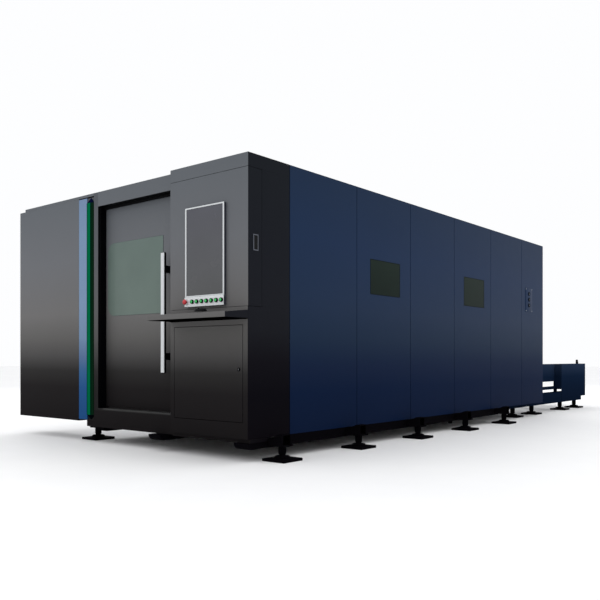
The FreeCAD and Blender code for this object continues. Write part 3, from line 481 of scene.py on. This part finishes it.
# Pressed louvres let warm air out of the rear panels, and pan-head screws hold their edges.
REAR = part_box("rear_panels")[1].y
louvres = Shape()
for middle in (-0.54, -1.61):
    for number in range(9):
        z = 1.62 + 0.042 * number
        hood = [(0, -0.001, 0), (0, 0.0, 0.030), (0, 0.004, 0.029), (0, 0.009, 0.022),
                (0, 0.0115, 0.010), (0, 0.0115, 0.0), (0, 0.0100, 0.0), (0, 0.0095, 0.010),
                (0, 0.0070, 0.020), (0, 0.001, 0.026), (0, 0.001, 0.002), (0, 0.0, -0.001)]
        louvres.section([Vector((0, REAR + p[1], z + p[2])) for p in hood],
                        (RIGHT + middle - 0.17, 0, 0), (RIGHT + middle + 0.17, 0, 0))
    for x in (middle - 0.50, middle + 0.50):
        for number in range(6):
            louvres.turned(Vector((RIGHT + x, REAR, 0.84 + 0.276 * number)), (0, 1, 0),
                           [(-0.001, 0.008), (0.001, 0.008), (0.0035, 0.0055), (0.004, 0.002)],
                           material=1, sides=20)
louvres.piece("rear_louvres", "machine", [side_blue, zinc_sheet])


# ---- Side windows and service plate --------------------------------------------------------
# Laser-safe acrylic panes, dark green, bedded in a thin black rubber lip; further back a small
# screwed plate carries the air and gas inlets.
def tinted(name, top, bottom, low, high, rough=0.1, shine=0.3):
    f = Finish(name)
    # The blend from the bottom colour to the top one with height is a painted reflection on the
    # pane.
    blend = f.mix(f.spread(f.along(f.place, "Z"), low, high), srgb(bottom), srgb(top))
    f.link(f.mottle(blend, 2.5, 0.08), "Base Color")
    f.gloss(f.grain(9), rough, rough + 0.06)
    f.bump(f.grain(3), 0.02, 0.002)
    return f.set(Specular_IOR_Level=shine).material


def rounded(width, height, radius, steps=8):
    """Corner points of a rounded rectangle about its middle."""
    points = []
    for cx, cy, turn in ((1, 1, 0), (-1, 1, 90), (-1, -1, 180), (1, -1, 270)):
        for k in range(steps + 1):
            angle = math.radians(turn + 90 * k / steps)
            points.append((cx * (width / 2 - radius) + radius * math.cos(angle),
                           cy * (height / 2 - radius) + radius * math.sin(angle)))
    return points


def ring(shape, place, wide, narrow, low, high, material=0):
    """A frame between two outlines; place(u, v, w) gives the spot for it."""
    bm = shape.bm
    loops = [[bm.verts.new(place(u, v, w)) for u, v in outline]
             for outline, w in ((wide, low), (wide, high), (narrow, high), (narrow, low))]
    count = len(wide)
    for a, b in zip(loops, loops[1:] + loops[:1]):
        for k in range(count):
            bm.faces.new((a[k], a[(k + 1) % count], b[(k + 1) % count],
                          b[k])).material_index = material


side_tint = tinted("dark_green_acrylic", "1c2722", "16201c", 1.36, 1.68, 0.14, 0.025)
panes = Shape()
PANE_HALF_Y, PANE_HALF_Z, PANE_MIDDLE_Z = 0.256, 0.161, 1.521
for middle_y in (1.868, 3.729):
    def spot(u, v, w, middle=middle_y):
        return at(w, middle + u, PANE_MIDDLE_Z + v)
    outer = rounded(PANE_HALF_Y * 2 - 0.001, PANE_HALF_Z * 2 - 0.001, 0.004)
    inner = rounded(PANE_HALF_Y * 2 - 0.006, PANE_HALF_Z * 2 - 0.006, 0.004)
    ring(panes, spot, outer, inner, -0.0035, 0.0012, 1)
    panes.section([spot(u, v, 0) for u, v in inner], (-0.003, 0, 0), (-0.0003, 0, 0))
panes.piece("side_window_panes", "machine", [side_tint, rubber_black],
            ["side_windows"])

service = Shape()
SERVICE_MIDDLE_Y = 5.3255
service.block(at(0.0, 5.216, 1.38), at(0.004, 5.435, 1.69), 0.0015)
for z in (1.4668, 1.5412, 1.6156):
    service.turned(at(0.003, SERVICE_MIDDLE_Y, z), (1, 0, 0),
                   [(0.0, 0.026), (0.003, 0.026), (0.005, 0.022), (0.009, 0.021),
                    (0.009, 0.015), (0.002, 0.015)], material=1)
    service.turned(at(0.004, SERVICE_MIDDLE_Y, z), (1, 0, 0),
                   [(0.0, 0.007), (0.0055, 0.007), (0.0065, 0.005)], material=2, sides=20)
for y in (5.230, 5.421):
    for z in (1.394, 1.676):
        service.turned(at(0.003, y, z), (1, 0, 0),
                       [(0.0, 0.007), (0.0025, 0.0065), (0.004, 0.004)], material=2, sides=20)
service.piece("service_inlets", "machine", [side_blue, rubber_black, zinc_sheet],
              ["service_plate"])


# ---- Front header, posts and sill ----------------------------------------------------------
# A folded grey header and posts frame the doorway; its deep reveal is painted near black, as
# the shadow inside it, and a thin steel tread plate covers the sill.
# Front grey darkens low down as painted shade; its right-facing sheets turn black, partly paint
# and partly painted shade, and faces that look down are near-black painted shade.
front_grey = coat("front_grey", GREY_WITH_PAINTED_SHADE, right_face=BLACK_WITH_PAINTED_SHADE, underside_shade="050506")
# The posts darken towards the floor as painted shade; past the front their reveal is near black,
# painted shadow, and their right-facing faces are near-black painted shade.
post_finish = Finish("post_finish")
tone = post_finish.ramp(post_finish.spread(post_finish.along(post_finish.place, "Z"), 0, 2.3),
                        [(z / 2.3, srgb(code)) for z, code in (
                            (0.2, "151415"), (0.5, "1a1919"), (0.66, "242323"), (0.8, "3a3a3a"),
                            (0.97, "4c4c4c"), (1.2, "545556"), (1.7, "55575b"), (2.3, "505358"))])
behind = post_finish.spread(post_finish.along(post_finish.place, "Y"),
                            FRONT + 0.099, FRONT + 0.101)
turned = post_finish.spread(post_finish.along(post_finish.facing, "X"), 0.55, 0.75)
tone = post_finish.mix(turned, post_finish.mix(behind, tone, srgb("040405")), srgb("030306"))
post_finish.link(post_finish.mottle(tone, 2, 0.05), "Base Color")
post_finish.set(Specular_IOR_Level=0.04).gloss(post_finish.grain(6, 2), 0.42, 0.52)
post_finish.bump(post_finish.grain(420, 2), 0.06, 0.0006)
refinish(front_grey, "front_header")
refinish(post_finish.material, "door_posts")
# The tread is lighter along its top and dark below it, like the skirt's painted shade; left of the
# door's edge it is near black, painted shade.
tread = Finish("sill_tread")
lighter_top_mask = tread.spread(tread.along(tread.place, "Z"), 0.304, 0.312)
beside_door = tread.spread(tread.along(tread.place, "X"), RIGHT - 1.900, RIGHT - 1.880)
lighter_top_mask = tread.mix(beside_door, (0.0, 0.0, 0.0), tread.mix(lighter_top_mask, (0.0,) * 3, (1.0,) * 3))
tread.link(tread.mottle(tread.mix(lighter_top_mask, srgb("171616"), srgb("383838")), 8, 0.15), "Base Color")
tread.set(Specular_IOR_Level=0.05).gloss(tread.grain(30), 0.4, 0.5)
refinish(tread.material, "door_sill")
soften(0.0012, "front_header", "door_posts")
seal = Shape()
seal.section([at(0, y, z) for y, z in ((0.140, 2.168), (0.140, 2.160), (0.152, 2.148),
                                       (0.156, 2.146), (0.160, 2.148), (0.161, 2.168))],
             (-1.962, 0, 0), (-0.868, 0, 0))
seal.piece("doorway_brush_seal", "machine", [rubber_black])
sweep = Shape()
sweep.section([at(0, y, z) for y, z in ((0.156, 0.3195), (0.156, 0.334), (0.158, 0.336),
                                       (0.161, 0.336), (0.163, 0.334), (0.163, 0.3195))],
              (-1.905, 0, 0), (-0.869, 0, 0))
sweep.piece("sill_brush", "machine", [front_grey])


# ---- Light strips --------------------------------------------------------------------------
# A flat blue strip and, beside it, a low ridge of green diffuser in a black channel with a
# hipped cap at each end; both are slid down behind the header and clipped.
def glowing(name, code, glow):
    f = Finish(name)
    blend = f.mottle(srgb(code), 3, 0.06)
    f.link(blend, "Base Color").link(blend, "Emission Color")
    f.gloss(f.grain(7), 0.25, 0.35)
    return f.set(Emission_Strength=glow, Specular_IOR_Level=0.0).material


# The blue strip's ramp is painted reflection: pale at the top, deep blue low down where a dark
# ground is reflected.
ACCENT_WITH_PAINTED_REFLECTION = ((0.2, "1b4676"), (0.5, "234d7e"), (0.66, "335a84"), (0.8, "52698c"),
                (0.97, "667f9c"), (1.3, "6f86a3"), (1.9, "6c84a0"), (2.3, "667b99"))
refinish(coat("blue_strip", ACCENT_WITH_PAINTED_REFLECTION, 0.08, (0.3, 0.4), 0.03), "accent_strip")
soften(0.002, "accent_strip")
lamp_green = glowing("green_diffuser", "005a38", 0.12)
# The diffuser's right facet is a dim, unlit copy of the lit green: painted shade.
shaded_green = glowing("green_diffuser_shade", "0a2214", 0.0)
channel_black = coat("channel_black", ((0.0, "02060a"), (2.18, "02080a"), (2.23, "070c2a")),
                     0.0, (0.4, 0.5))
ridge = Shape()
RIDGE = ((-2.136, 0.100), (-2.136, 0.073), (-2.123, 0.0695), (-2.091, 0.0630), (-2.068, 0.0636),
         (-2.057, 0.0655), (-2.034, 0.0718), (-2.028, 0.0735), (-2.027, 0.100))
RIDGE_FACES = (0, 0, 1, 1, 0, 2, 2, 0, 0)
RIDGE_LOW, RIDGE_HIGH, HIP = 0.213, 2.216, 0.050
ridge.section([at(x, y, 0) for x, y in RIDGE], (0, 0, RIDGE_LOW + 0.04), (0, 0, RIDGE_HIGH),
              materials=RIDGE_FACES)
for start, tip in ((RIDGE_HIGH, RIDGE_HIGH + HIP), (RIDGE_LOW + 0.04, RIDGE_LOW - 0.006)):
    rim = [ridge.bm.verts.new(at(x, y, start)) for x, y in RIDGE]
    point = ridge.bm.verts.new(at(-2.082, 0.0845, tip))
    for k in range(len(rim)):
        ridge.bm.faces.new((rim[k], rim[(k + 1) % len(rim)], point))
ridge.block(at(-2.136, 0.0860, 0.2045), at(-2.0275, 0.0995, 2.266), 0.0, 3)
ridge.piece("green_light_ridge", "machine",
            [channel_black, lamp_green, shaded_green, post_finish.material], ["light_strip"])


# ---- Left wing -----------------------------------------------------------------------------
# The pocket that the front door slides into: one tall folded front panel and a shell behind.
refinish(front_grey, "wing_front_panel", "wing_shell")
soften(0.0012, "wing_front_panel", "wing_shell")


# ---- Sliding front door --------------------------------------------------------------------
# A foam-filled grey panel with a large window, round at its left corners, bonded on its face;
# two roller hangers carry it. The handle is aluminium on its face and front chamfers, and its
# sides and back are black as painted shade; it stands off on two black blocks.
front_tint = tinted("green_acrylic", "606e69", "626f69", 1.16, 1.83, 0.14, 0.08)
alloy = brushed("drawn_aluminium", "c3c6c8", (1, 1, 0.02), (0.38, 0.45), 0.25)
# These two ramps darken slightly towards the floor: painted shade.
plastic_black = coat("plastic_black", ((0.0, "08080a"), (2.3, "0e0f12")), 0.06, (0.4, 0.5), 0.2)
window_lip = coat("window_lip", ((0.0, "4c5250"), (2.3, "50565a")))
refinish(front_grey, "front_door")
refinish(plastic_black, "door_fittings")
soften(0.003, "door_fittings")
soften(0.001, "front_door")
door_low, door_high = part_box("front_window")
door_middle = (door_low + door_high) / 2


def door_spot(u, v, w):
    return Vector((door_middle.x + u, door_low.y + w, door_middle.z + v))


def half_rounded(width, height, radius):
    """The pane's outline: round corners on its left, small ones beside the handle."""
    left = [p for p in rounded(width, height, radius, 12) if p[0] < 0]
    right = [p for p in rounded(width, height, 0.006, 3) if p[0] > 0]
    return right[:4] + left + right[4:]


window = Shape()
WINDOW_WIDE, WINDOW_TALL = door_high.x - door_low.x + 0.002, door_high.z - door_low.z + 0.002
margin = half_rounded(WINDOW_WIDE, WINDOW_TALL, 0.050)
outer = half_rounded(WINDOW_WIDE - 0.002, WINDOW_TALL - 0.002, 0.095)
inner = half_rounded(WINDOW_WIDE - 0.006, WINDOW_TALL - 0.006, 0.093)
ring(window, door_spot, margin, outer, -0.0020, -0.0008, 2)
ring(window, door_spot, outer, inner, -0.0026, -0.0008, 1)
window.section([door_spot(u, v, 0) for u, v in inner], (0, -0.0035, 0), (0, -0.0008, 0))
window.piece("front_window_pane", "front_door",
             [front_tint, window_lip, front_grey], ["front_window"])

bar_low, bar_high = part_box("door_handle")
handle = Shape()
CHAMFER, END_CAP = 0.005, 0.004
cross = [(bar_low.x + CHAMFER, bar_low.y), (bar_high.x - CHAMFER, bar_low.y),
         (bar_high.x - 0.001, bar_low.y + 0.001), (bar_high.x, bar_low.y + CHAMFER),
         (bar_high.x, bar_high.y), (bar_low.x, bar_high.y), (bar_low.x, bar_low.y + CHAMFER),
         (bar_low.x + 0.001, bar_low.y + 0.001)]
# The sides and back take plastic_black as painted shade; the face and front chamfers stay
# aluminium.
handle.section([(x, y, 0) for x, y in cross], (0, 0, bar_low.z + END_CAP),
               (0, 0, bar_high.z - END_CAP), materials=(0, 0, 0, 1, 1, 1, 0, 0))
for z in (bar_low.z, bar_high.z - END_CAP):
    handle.block((bar_low.x + 0.001, bar_low.y + 0.001, z),
                 (bar_high.x - 0.001, bar_high.y - 0.001, z + END_CAP), 0.0015, 1)
handle.piece("front_door_handle", "front_door", [alloy, plastic_black],
             ["door_handle"])


# ---- Control cabinet -----------------------------------------------------------------------
# A welded sheet-steel cabinet beside the doorway: grey in front, black on its outer side, with
# a sloping shelf, a hinged lower door with a quarter-turn lock, and a cap flush with the roof.
refinish(front_grey, "cabinet_frame", "cabinet_walls", "cabinet_cap", "cabinet_door",
         "keyboard_shelf")
refinish(inner_grey, "drive_rack")
soften(0.0012, "cabinet_cap", "cabinet_frame", "cabinet_door")
soften(0.003, "keyboard_shelf")

shelf_low, shelf_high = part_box("keyboard_shelf")
# A thin black strip folded under the shelf's front: painted shadow where the shelf shades the
# cabinet.
shelf_shadow = Shape()
UNDER = shelf_low.z - 0.0005
shelf_shadow.section([(0, FRONT - 0.0005, UNDER), (0, shelf_low.y + 0.008, UNDER),
                   (0, shelf_low.y + 0.008, UNDER - 0.002), (0, FRONT - 0.016, UNDER - 0.002),
                   (0, FRONT - 0.004, UNDER - 0.006), (0, FRONT - 0.0005, UNDER - 0.006)],
                  (shelf_low.x + 0.012, 0, 0), (shelf_high.x - 0.006, 0, 0))
shelf_shadow.piece("shelf_painted_shadow", "machine", [shadow_black])

mouse_low, mouse_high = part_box("mouse")
mouse_middle = (mouse_low + mouse_high) / 2
mouse_size = mouse_high - mouse_low
mouse = Shape()
STATIONS = ((-0.50, 0.30, 0.30), (-0.44, 0.62, 0.52), (-0.25, 0.92, 0.80), (0.0, 0.88, 0.97),
            (0.22, 0.98, 1.0), (0.40, 0.82, 0.72), (0.48, 0.55, 0.42), (0.5, 0.25, 0.25))
rims = []
for along, wide, tall in STATIONS:
    rim = []
    for k in range(17):
        angle = math.pi * k / 16
        spread = math.cos(angle) * (1 - 0.12 * math.sin(angle))
        rim.append(mouse.bm.verts.new((
            mouse_middle.x + spread * wide * mouse_size.x / 2,
            mouse_middle.y + along * mouse_size.y,
            mouse_low.z + 0.001 + math.sin(angle) ** 0.7 * tall * (mouse_size.z - 0.001))))
    rims.append(rim)
for a, b in zip(rims, rims[1:]):
    for k in range(16):
        mouse.bm.faces.new((a[k], a[k + 1], b[k + 1], b[k]))
    mouse.bm.faces.new((a[16], a[0], b[0], b[16]))
mouse.bm.faces.new(rims[0])
mouse.bm.faces.new(list(reversed(rims[-1])))
wheel_y = mouse_low.y + mouse_size.y * 0.25
mouse.turned((mouse_middle.x - 0.003, wheel_y, mouse_low.z + mouse_size.z * 0.72), (1, 0, 0),
             [(0.0, 0.006), (0.001, 0.007), (0.005, 0.007), (0.006, 0.006)], 1, 24)
mouse.piece("cordless_mouse", "machine", [plastic_black, rubber_black],
            ["mouse"])

lock_low, lock_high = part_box("door_lock")
lock_spot = (lock_low + lock_high) / 2
lock = Shape()
lock.turned((lock_spot.x, lock_high.y, lock_spot.z), (0, -1, 0),
            [(0.0, 0.013), (0.004, 0.013), (0.0062, 0.011), (0.0062, 0.0075), (0.003, 0.007)],
            sides=36)
lock.block((lock_spot.x - 0.0012, lock_low.y + 0.0005, lock_spot.z - 0.006),
           (lock_spot.x + 0.0012, lock_low.y + 0.004, lock_spot.z + 0.006), 0.0004, 1)
lock.piece("quarter_turn_lock", "door_lock", [plastic_black, zinc_sheet],
           ["door_lock"])


# ---- Console door, monitor and its buttons -------------------------------------------------
# A shallow pan door with an upright touch monitor let into a silver surround; below the screen
# a silver bar holds seven lit push buttons in collars painted black as their shade, and a red
# mushroom stop.
# The button bar and the monitor surround are darker on their right-facing sides: painted shade.
pale_alloy = brushed("pale_anodised", "d3d6d8", (0.02, 1, 1), (0.38, 0.45), 0.1, 0.02, "3c3e46")
refinish(front_grey, "console_door")
refinish(brushed("monitor_surround", "c3c6c8", (1, 1, 0.02), (0.38, 0.45), 0.1, 0.04, "2c2e38"),
         "monitor_frame")
refinish(pale_alloy, "button_panel")
refinish(brushed("latch_alloy", "464a54", (1, 1, 0.02), (0.5, 0.6), 0.0), "latch_frame")
soften(0.0012, "console_door")
soften(0.004, "monitor_frame")
soften(0.0015, "latch_frame")
refinish(tinted("screen_glass", "4e4f56", "575859", 1.25, 1.96, 0.22, 0.12), "monitor_screen")
refinish(plastic_black, "latch_paddle")
soften(0.001, "latch_paddle")


def moulded(name, code, gloss=(0.25, 0.35), glow=0.0):
    f = Finish(name)
    blend = f.mottle(srgb(code), 50, 0.12)
    f.link(blend, "Base Color").link(blend, "Emission Color")
    f.gloss(f.grain(60), *gloss)
    f.bump(f.grain(900), 0.05, 0.0002)
    return f.set(Emission_Strength=glow, Specular_IOR_Level=0.35).material


button_green = moulded("button_green", "2fae58", glow=0.15)
stop_red = moulded("stop_red", "c2323a")
BAR_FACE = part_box("button_panel")[0].y
collars = Shape()
for number in range(1, 8):
    low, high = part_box(f"button_{number}")
    spot = (low + high) / 2
    radius = (high.x - low.x) / 2
    for_collar = (spot.x, BAR_FACE, spot.z)
    rise = BAR_FACE - low.y - 0.001
    # Each collar is painted shadow black, the shade beside its button.
    collars.turned(for_collar, (0, -1, 0),
                   [(-0.001, radius + 0.0045), (rise - 0.004, radius + 0.0045),
                    (rise - 0.001, radius + 0.003), (rise, radius + 0.0012),
                    (0.002, radius + 0.0012)], sides=40)
    cap = Shape()
    reach = high.y - low.y
    cap.turned((spot.x, high.y, spot.z), (0, -1, 0),
               [(0.0, radius * 0.94), (reach - 0.004, radius), (reach - 0.002, radius * 0.94),
                (reach - 0.0006, radius * 0.72), (reach, radius * 0.35)], sides=40)
    cap.piece(f"lit_button_{number}", f"button_{number}", [button_green],
              [f"button_{number}"])
collars.piece("button_collars", "console_door", [shadow_black])

low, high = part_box("emergency_stop")
spot = (low + high) / 2
mushroom_radius = (high.x - low.x) / 2
stop = Shape()
stop.turned((spot.x, high.y, spot.z), (0, -1, 0),
            [(0.0, 0.0085), (high.y - BAR_FACE + 0.010, 0.0085)], 1, 32)
stop.turned((spot.x, low.y + 0.017, spot.z), (0, -1, 0),
            [(0.0, 0.012), (0.002, mushroom_radius * 0.93), (0.005, mushroom_radius),
             (0.009, mushroom_radius * 0.96), (0.0125, mushroom_radius * 0.82),
             (0.0155, mushroom_radius * 0.55), (0.017, mushroom_radius * 0.2)], 0, 48)
stop.piece("mushroom_stop", "emergency_stop", [stop_red, plastic_black],
           ["emergency_stop"])


# ---- Gantry, carriage and cutting head -----------------------------------------------------
# A box beam on two trucks; the carriage plate carries the head, a machined block with a
# collimator tube on top, a sensor ring and a copper nozzle below.
copper = brushed("nozzle_copper", "b87348", (1, 1, 0.1), (0.25, 0.35), 1.0, 0.1)
head_alloy = brushed("turned_alloy", "b9bcc0", (1, 1, 0.05))
refinish(inner_grey, "gantry_beam", "carriage")
soften(0.004, "gantry_beam", "carriage")
low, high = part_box("cutting_head")
spot = (low + high) / 2
head = Shape()
BLOCK_LOW = 0.850
head.block((low.x, low.y, BLOCK_LOW + 0.05), (high.x, high.y, high.z - 0.10), 0.006)
head.block((low.x + 0.012, low.y + 0.010, high.z - 0.10), (high.x - 0.012, high.y, high.z - 0.03),
           0.004, 1)
head.turned((spot.x, spot.y, high.z - 0.03), (0, 0, 1),
            [(0.0, 0.036), (0.020, 0.036), (0.022, 0.030), (0.030, 0.030)])
head.turned((spot.x, spot.y, BLOCK_LOW - 0.012), (0, 0, 1),
            [(0.0, 0.030), (0.006, 0.036), (0.050, 0.036), (0.062, 0.044)])
head.turned((spot.x, spot.y, low.z), (0, 0, 1),
            [(0.0, 0.003), (0.010, 0.008), (0.022, 0.013), (0.024, 0.022), (0.040, 0.024),
             (0.078, 0.028)], 2)
head.piece("cutting_head_body", "cutting_head", [head_alloy, plastic_black, copper],
           ["cutting_head"])


# ---- Pallets -------------------------------------------------------------------------------
# Welded tube frames with upright steel slats, saw-toothed along the top by plasma cutting, that
# hold the sheet clear; they wear dark with heat and slag.
slat_steel = Finish("scaled_steel")
scale = slat_steel.grain(14, 6)
slat_steel.link(slat_steel.ramp(scale, [(0.3, srgb("4b4a4a")), (0.5, srgb("66676a")),
                                        (0.72, srgb("85878a"))]), "Base Color")
slat_steel.set(Metallic=0.7).gloss(scale, 0.45, 0.7).bump(scale, 0.2, 0.001)
slat_steel = slat_steel.material
SLATS, TOOTH, TOOTH_DEPTH = 21, 0.04, 0.022
for node_name, body in (("pallet_upper_grid", "pallet_upper"), ("pallet_lower_grid",
                                                                 "pallet_lower")):
    low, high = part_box(node_name)
    BAR = 0.060
    pallet = Shape()
    top = low.z + BAR
    for x_low, x_high in ((low.x, low.x + BAR), (high.x - BAR, high.x)):
        pallet.block((x_low, low.y, low.z), (x_high, high.y, top), 0.004)
    for y_low in (low.y, high.y - BAR):
        pallet.block((low.x + BAR, y_low, low.z), (high.x - BAR, y_low + BAR, top), 0.004)
    teeth = int((high.x - low.x - BAR * 2) / TOOTH)
    pitch = (high.x - low.x - BAR * 2) / teeth
    outline = [(low.x + BAR, low.z)]
    for k in range(teeth):
        left = low.x + BAR + k * pitch
        outline += [(left, high.z - TOOTH_DEPTH), (left + pitch / 2, high.z)]
    outline += [(high.x - BAR, high.z - TOOTH_DEPTH), (high.x - BAR, low.z)]
    for number in range(SLATS):
        y = low.y + BAR + (high.y - low.y - BAR * 2) * (number + 0.5) / SLATS
        bm = pallet.bm
        sheets = [[bm.verts.new((x, y + side, z)) for x, z in outline] for side in (-0.003, 0.003)]
        for k in range(len(outline)):
            j = (k + 1) % len(outline)
            bm.faces.new((sheets[0][k], sheets[0][j], sheets[1][j], sheets[1][k]))
        for sheet in sheets:
            corners = (sheet[0], sheet[1], sheet[-2], sheet[-1])
            bm.faces.new(corners[0:1] + tuple(sheet[1:-1:2]) + corners[3:])
            for k in range(teeth):
                bm.faces.new((sheet[1 + 2 * k], sheet[2 + 2 * k], sheet[3 + 2 * k]))
    pallet.piece(f"{body}_slatted", body, [slat_steel], [node_name])


# ---- Dividing wall, shutter and laser source -----------------------------------------------
# The chamber's back wall with its lifting shutter, and the source cabinet on the deck behind.
refinish(inner_grey, "dividing_wall", "rear_shutter", "laser_source")
soften(0.003, "laser_source", "rear_shutter")


# ---- Exchange table ------------------------------------------------------------------------
# Navy welded beams and inner walls carry the pallet ledges; blue sheet skins close the drive
# cabinets at the far end, with a short black stop lever leaning on top.
# The navy darkens towards the floor: painted shade.
TABLE_BLUE_WITH_PAINTED_SHADE = ((0.1, "0c1626"), (0.3, "0e192b"), (0.5, "101d31"), (0.7, "243044"),
               (2.3, "1f2c40"))
table_blue = coat("table_blue", TABLE_BLUE_WITH_PAINTED_SHADE, 0.0, (0.4, 0.5))
refinish(table_blue, "table_side_panels", "table_end_skins", "table_frame")
soften(0.0012, "table_side_panels", "table_end_skins")
soften(0.003, "table_frame")
lip = Shape()
for left, right in ((-0.250, -0.150), (-1.995, -1.895)):
    lip.block(at(left, 6.960, 0.310), at(right, 6.964, 0.357), 0.0008)
lip.piece("drive_cabinet_lips", "machine", [table_blue])
lever = Shape()
foot = at(-0.174, 7.732, 0.688)
LEAN = Matrix.Rotation(math.radians(14), 3, "X")
lever.block(foot + Vector((-0.016, -0.016, 0)), foot + Vector((0.016, 0.016, 0.034)), 0.003)
lever.block(foot + Vector((-0.0135, -0.022, 0.004)), foot + Vector((0.0135, 0.012, 0.064)),
            0.005, 0, LEAN)
lever.piece("stop_lever", "machine", [plastic_black])
